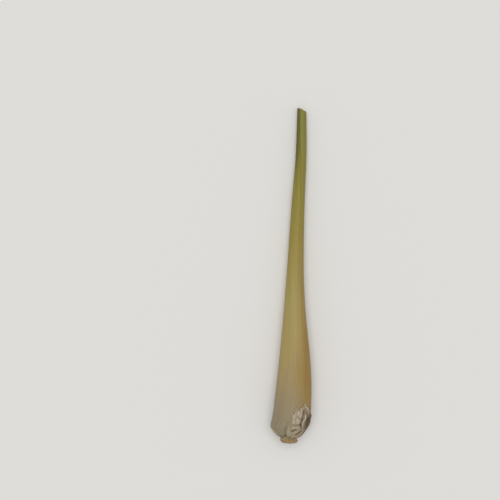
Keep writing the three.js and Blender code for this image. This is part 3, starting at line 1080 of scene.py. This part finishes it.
# %% The collar's edges
TORN_FROM_ANGLE = math.radians(89)
TORN_TO_ANGLE = math.radians(-38)
TORN_RIM_RUN = 0.9 * MM
TORN_THICKNESS = 0.22 * MM
TORN_COLUMNS = 200
TORN_ROWS = 80
FREE_EDGE = [(-38, 3), (-20, 7), (0, 13), (10, 17), (19, 20), (38, 23), (46, 24.5), (52, 25)]
FREE_EDGE += [(57, 23.5), (63, 23), (70, 23), (81, 22.5), (86, 20.5), (89, 18.5)]
TORN_LEAN = (math.radians(11), 13 * MM)  # how far its left edge has moved right at the rim
BITE = {"angle": math.radians(21), "half_width": math.radians(14), "run": 17 * MM, "bluntness": 0.6}
SHORTEST_STRIP = 1 * MM
print("its free edge runs up to", max(run for _, run in FREE_EDGE), "mm from the rim")

# %% Tear it into strips
STRIP_COUNT = 25
STRIP_HEIGHTS = (0.9, 1)
STRIP_COLUMNS = 4  # a strip is so many columns of faces wide, or some times as many
END_COLUMNS = 3  # these have no slit, on both sides
STRIP_SLITS = (0.1, 0.45)  # how far the slits go down, as shares of the collar's height
FRAY = (1.2 * MM, 0.3 * MM)  # at its free edge, and at its lower one
rng = np.random.default_rng(23)
torn_across = np.linspace(0, 1, TORN_COLUMNS + 1)
torn_angle = between(TORN_FROM_ANGLE, TORN_TO_ANGLE, torn_across)
slit_places = np.arange(END_COLUMNS, TORN_COLUMNS - END_COLUMNS, STRIP_COLUMNS)
slits = np.sort(rng.choice(slit_places, STRIP_COUNT - 1, replace=False))
strip = np.searchsorted(slits, np.arange(TORN_COLUMNS + 1), side="left")
strip_height = rng.uniform(*STRIP_HEIGHTS, STRIP_COUNT)[strip]
strip_lift = rng.uniform(0, 1, STRIP_COUNT)[strip]
slit_depth = rng.uniform(*STRIP_SLITS, STRIP_COUNT - 1)
fray = FRAY[0] * rng.random(TORN_COLUMNS + 1) ** 2
edge_angles, edge_runs = zip(*FREE_EDGE)
torn_top = MM * np.interp(np.degrees(torn_angle), edge_angles, edge_runs) * strip_height - fray
bite = np.clip(1 - np.abs(torn_angle - BITE["angle"]) / BITE["half_width"], 0, 1)
torn_low = TORN_RIM_RUN + BITE["run"] * bite ** BITE["bluntness"]
torn_low = np.minimum(torn_low, torn_top - SHORTEST_STRIP)
torn_low = torn_low + FRAY[1] * rng.random(TORN_COLUMNS + 1)
print("the collar has", STRIP_COUNT, "strips, up to", round(float(torn_top.max() / MM), 1), "mm long")


# %% Where its folds run
# The creases press the mesh in, and the finish paints shade into them too.
CREASES = [
    ([(21, 54), (15.5, 59), (12, 60), (9.5, 52)], 0.8 * MM, 0.8),
    ([(12, 84), (11.5, 73), (12, 61)], 0.6 * MM, 0.45),
    ([(17.5, 76), (15.5, 67)], 0.5 * MM, 0.4),
    ([(15.5, 83), (13, 75)], 0.5 * MM, 0.35),
    ([(7, 78), (8, 71)], 0.7 * MM, 1),
    ([(4, 60), (6.5, 45)], 0.7 * MM, 1),
    ([(24, 48), (19.5, 23)], 0.8 * MM, 0.9),
    ([(18, 38), (14, 43), (9, 39)], 1 * MM, 0.45),
    ([(14.5, 29), (12.5, 29), (10, 25)], 2.2 * MM, 1.3),
    ([(20, 20), (17, 21), (14.5, 26)], 1.1 * MM, 0.9),
    ([(16, 3), (11, 0), (5, -4)], 2.2 * MM, 0.8),
]  # knots in millimetres of run and degrees, then its reach and strength
RIDGES = [
    ([(21.5, 79), (17.5, 76)], 1.1 * MM, 0.4),
    ([(21.5, 70), (17.5, 65)], 1.3 * MM, 0.55),
    ([(17, 86), (13, 82)], 1.2 * MM, 0.6),
    ([(15, 72), (13, 69)], 1.2 * MM, 0.6),
    ([(9, 79), (10, 63)], 1 * MM, 0.3),
    ([(5, 70), (7, 61)], 1 * MM, 0.3),
]
FOLD_HEIGHT = 0.4 * MM
print(len(CREASES), "creases and", len(RIDGES), "ridges are laid over the collar")


# %% Lift it off the bulb
CRUMPLE = (0.16 * MM, 2.3 * MM)  # height and size
PLEATS = (0.08 * MM, 90)  # height, and how fast they follow each other
PLEATS_WANDER = (1.7, 9)  # how far they stray, and how fast
STRIP_LIFT = 0.45 * MM
STAND_OFF = (0.1 * MM, 0.3 * MM)
LOWEST_STAND_OFF = 0.05 * MM
HIGHEST_STAND_OFF = (0.55 * MM, 1.05 * MM)  # on the right, and on the upper side


def crumple(run, angle):
    height, size = CRUMPLE
    spots = np.stack(np.broadcast_arrays(run, angle * BULB_HALF_WIDTH), -1) / size
    flat = spots.reshape(-1, 2).tolist()
    values = [noise.fractal((x, y, 7.3), 1.0, 2.0, 3) for x, y in flat]
    return height * np.array(values).reshape(spots.shape[:-1])


torn_up = np.linspace(0, 1, TORN_ROWS + 1)[:, None]
torn_run = between(torn_low[None, :], torn_top[None, :], torn_up)
lean = TORN_LEAN[0] * np.clip(1 - torn_run / TORN_LEAN[1], 0, 1) * (1 - torn_across)
torn_skin_angle = torn_angle - lean


def marked(marks):
    shares = (share * closeness(torn_run, torn_skin_angle, path, reach) for path, reach, share in marks)
    return sum(shares)


creases, ridges = marked(CREASES), marked(RIDGES)
stray = PLEATS_WANDER[0] * np.sin(PLEATS_WANDER[1] * torn_across)
pleats = PLEATS[0] * np.sin(PLEATS[1] * torn_across + stray) * torn_up
lift = between(*STAND_OFF, fade(torn_up, 0, 0.6)) + STRIP_LIFT * strip_lift * torn_up**2
lift = lift + FOLD_HEIGHT * (ridges - creases) + crumple(torn_run, torn_skin_angle) + pleats
highest = between(*HIGHEST_STAND_OFF, fade(torn_skin_angle, math.radians(30), math.radians(55)))
lift = np.clip(lift, LOWEST_STAND_OFF, highest)
print("it stands off by", round(lift.min() / MM, 2), "to", round(lift.max() / MM, 2), "mm")

# %% Make the collar
COLLAR_SHARE = 0.35  # of a turn, so that its fibres are as fine as the other sheaths' veins
faces = [place(torn_run, torn_skin_angle, depth) for depth in (-lift - TORN_THICKNESS, -lift)]
kept = np.ones((TORN_ROWS, TORN_COLUMNS), bool)
for column, depth in zip(slits, slit_depth):
    kept[int(TORN_ROWS * (1 - depth)) :, column] = False
fields = {
    "along": outline(torn_run)[0] / STALK_LENGTH,
    "across": torn_across[None, :] * COLLAR_SHARE,
    "up": torn_up,
    "crease": np.clip(creases, 0, 1),
    "ridge": np.clip(ridges, 0, 1),
}
torn_mesh = sheet_mesh("torn_sheath_fine", *faces, fields, kept)
torn_mesh.polygons.foreach_set("material_index", np.zeros(len(torn_mesh.polygons), np.int32))
print("the collar's mesh has", len(torn_mesh.polygons), "faces")


# %% [markdown]
# Dried skin has lost its wax, so it hardly shines, and its fibres show as pale and dark threads.
# The folds are marked twice: the mesh is pressed in or raised there, and the same numbers darken
# the creases with painted shade and make the ridges paler.

# %% The papery finish
PAPER_PALE = colour(204, 190, 165)
PAPER_SAND = colour(168, 154, 131)
PAPER_TAN = colour(150, 134, 111)
# Brown for real blotches, and for painted shade in the creases
PAPER_BROWN_AND_SHADE = colour(78, 60, 40)


def dry_paper(name):
    material, tree, shader = new_finish(name, specular=0.25, subsurface=0.2, scatter=0.5 * MM)
    fibres = streaks(tree, 420, 14, 5.5, 4)
    blotches = grains(tree, 2.2 * MM, 4)
    shade = lay(tree, PAPER_TAN, PAPER_SAND, level(tree, fibres, 0.4, 0.62))
    shade = lay(tree, shade, PAPER_BROWN_AND_SHADE, level(tree, blotches, 0.52, 0.7, 0, 0.5))
    shade = lay(tree, shade, PAPER_PALE, level(tree, field(tree, "up"), 0.9, 1, 0, 0.4))
    shade = lay(tree, shade, PAPER_PALE, field(tree, "ridge"))
    # Painted shade in the creases.
    shade = lay(tree, shade, PAPER_BROWN_AND_SHADE, field(tree, "crease"), 0.92)
    roughness = level(tree, fibres, 0.3, 0.7, 0.75, 0.92)
    wear(tree, shader, shade, roughness, bump(tree, fibres, 0.08 * MM))
    return material


paper = dry_paper("dry_papery_sheath")
add_piece("torn_sheath_fine", torn_mesh, [paper], "torn_sheath")

# %% [markdown]
# ## Frayed fibres
# Where a sheath tears, its veins pull out as stiff pale threads. Some stand at the collar's free
# edge, a few long strips lie along its lower side, and short ones fringe the outer sheath's rim.
# Blender's hair would be quick, but hair is lost on export, so each fibre is a thin tapered
# ribbon of its own. Its path is given in runs and angles, so it follows the bulb's curve.

# %% Build ribbons along paths
RIBBON_SIDES = 6
RIBBON_STEPS = 13
RIBBON_START = 0.4  # its width there as a share of its full width
RIBBON_SWELLS = 0.15  # the share of its length that it takes to reach its full width
RIBBON_END = 0.15
RIBBON_FLATNESS = 0.4


def ribbon(knots, width, curl):
    """knots are (run, angle, stand-off). The ribbon bends outwards by curl on its way."""
    t = np.linspace(0, 1, RIBBON_STEPS)
    shares = np.linspace(0, 1, len(knots))
    run, angle, stand_off = (np.interp(t, shares, values) for values in zip(*knots))
    path = place(run, angle, -stand_off - curl * np.sin(math.pi * t))
    ahead = np.gradient(path, axis=0)
    ahead /= np.linalg.norm(ahead, axis=1)[:, None]
    outward = np.stack([np.cos(angle), 0 * angle, np.sin(angle)], -1)
    across = np.cross(ahead, outward)
    across /= np.linalg.norm(across, axis=1)[:, None]
    lift = RIBBON_FLATNESS * np.cross(ahead, across)
    taper = np.minimum(between(RIBBON_START, 1, t / RIBBON_SWELLS), between(1, RIBBON_END, t**1.5))
    angles = ring_angles(RIBBON_SIDES)
    around = across[:, None] * np.cos(angles) + lift[:, None] * np.sin(angles)
    return tube(path[:, None] + width / 2 * taper[:, None, None] * around)


print("one fibre has", RIBBON_SIDES * RIBBON_STEPS, "points")


# %% Fray the collar's free edge
FRAY_COUNT = 32
FRAY_ROOT = 1.5 * MM  # how far below the free edge a thread starts
FRAY_LIFT = 0.5 * MM
FRAY_REACHES = (0.5, 2.5)  # in millimetres, past the free edge
FRAY_WIDTHS = (0.14, 0.34)  # in millimetres
LONG_STRIPS = [
    ([(25, 55), (22, 46), (19.5, 36)], 0.8, 1.15),
    ([(23, 46), (21, 36), (19, 23)], 0.6, 1),
    ([(18.5, 49), (15.5, 49), (13.5, 56), (8.5, 52)], 1.2, 1.15),
    ([(7.5, 164), (6, 151), (4, 141), (2, 133)], 0.7, 0.12),
]  # knots in millimetres of run and degrees, then its width and stand-off in millimetres
rng = np.random.default_rng(31)
ribbons = []
for _ in range(FRAY_COUNT):
    column = rng.integers(4, TORN_COLUMNS - 4)
    run, angle = torn_top[column] - FRAY_ROOT, torn_angle[column]
    reach, drift = rng.uniform(*FRAY_REACHES) * MM, rng.normal(0, 0.06)
    free = FRAY_LIFT * fade(angle, math.radians(10), math.radians(55))
    end = (run + FRAY_ROOT + reach, angle + drift, rng.random() * free)
    width, curl = rng.uniform(*FRAY_WIDTHS) * MM, rng.random() * 0.3 * free
    ribbons.append(ribbon([(run, angle, 0.5 * free), end], width, curl))
for knots, width, stand_off in LONG_STRIPS:
    placed = [(run * MM, math.radians(angle), stand_off * MM) for run, angle in knots]
    ribbons.append(ribbon(placed, width * MM, 0))
print("the collar has", len(ribbons), "threads and strips")

# %% Fringe the outer sheath's rim, and make all the fibres one mesh
FRINGE_COUNT = 50
FRINGE_ROOT = 1.2 * MM
FRINGE_SINK = 0.25 * MM  # how deep in the sheath a thread starts
FRINGE_CURL = 0.1 * MM
FRINGE_ENDS = (-1.2, 0.2)  # in millimetres, the least and the most that its end stands off
FRINGE_WIDTHS = (0.12, 0.3)  # in millimetres
for _ in range(FRINGE_COUNT):
    angle = rng.uniform(0, TURN)
    end = (0.0, angle + rng.normal(0, 0.1), rng.uniform(*FRINGE_ENDS) * MM)
    knots = [(FRINGE_ROOT, angle, -FRINGE_SINK), end]
    ribbons.append(ribbon(knots, rng.uniform(*FRINGE_WIDTHS) * MM, FRINGE_CURL))
points, faces = joined(ribbons)
fibre_mesh = bpy.data.meshes.new("frayed_fibres")
fibre_mesh.from_pydata(points, [], faces)
fibre_mesh.shade_smooth()
for name in ("along", "across"):
    add_field(fibre_mesh, name, rng.random(len(points)) * 0.2)
add_field(fibre_mesh, "ridge", np.ones(len(points)))
add_piece("frayed_fibres", fibre_mesh, [paper])
print(len(ribbons), "fibres stand out from the torn edges in all")

# %% [markdown]
# ## Floor, light and camera
# The stalk lies on a plain pale floor. A broad soft sun from above, like a wide window, models
# its roundness without hard highlights, and a pale sky fills the shadows. A sun lights the whole
# floor alike, where a lamp close by would leave its far end dark. The camera looks straight down
# with a long lens, from a little to the left of the stalk.

# %% Floor
FLOOR_REACH = 4
floor_mesh = bpy.data.meshes.new("floor")
corners = [(x * FLOOR_REACH, y * FLOOR_REACH, 0) for x, y in ((-1, -1), (1, -1), (1, 1), (-1, 1))]
floor_mesh.from_pydata(corners, [], [(0, 1, 2, 3)])
floor = put("floor", floor_mesh)
floor_paint, tree, shader = new_finish("pale_floor", specular=0.2, subsurface=0, scatter=MM)
shader.inputs["Base Color"].default_value = colour(226, 225, 222)
shader.inputs["Roughness"].default_value = 0.8
floor_mesh.materials.append(floor_paint)
print("the floor is", 2 * FLOOR_REACH, "metres wide")


# %% Lights
def soft_sun(name, towards, strength, spread, tint):
    lamp = bpy.data.lights.new(name, "SUN")
    lamp.energy = strength
    lamp.angle = math.radians(spread)
    lamp.color = tint
    put(name, lamp).rotation_euler = Vector(towards).to_track_quat("-Z", "Y").to_euler()


SKY_STRENGTH = 0.52
soft_sun("window", towards=(0.04, -0.1, -1), strength=1.41, spread=50, tint=(1, 0.985, 0.96))
world = bpy.data.worlds.new("pale_sky")
world.use_nodes = True
world.node_tree.nodes["Background"].inputs["Color"].default_value = (0.99, 0.99, 1, 1)
world.node_tree.nodes["Background"].inputs["Strength"].default_value = SKY_STRENGTH
bpy.context.scene.world = world
bpy.context.scene.view_settings.view_transform = "Standard"
print("the sky is", SKY_STRENGTH, "strong")

# %% Camera
VIEW_WIDTH = 321 * MM  # what the camera takes in at the height of the stalk's axis
LENS = 85  # in millimetres, as a lens has it on its ring
SENSOR = 36  # its width, in millimetres too
CAMERA_OVER = (-30.435 * MM, 14.6 * MM)
CAMERA_TURN = math.radians(2.25)
camera_data = bpy.data.cameras.new("camera")
camera_data.lens = LENS
camera_data.sensor_width = SENSOR
camera = put("camera", camera_data)
middle_height = float(axis_z(STALK_LENGTH / 2))
camera.location = (*CAMERA_OVER, middle_height + VIEW_WIDTH * LENS / SENSOR)
camera.rotation_euler = (0, 0, CAMERA_TURN)
bpy.context.scene.camera = camera
print("the camera is", round(camera.location.z, 3), "m above the floor")
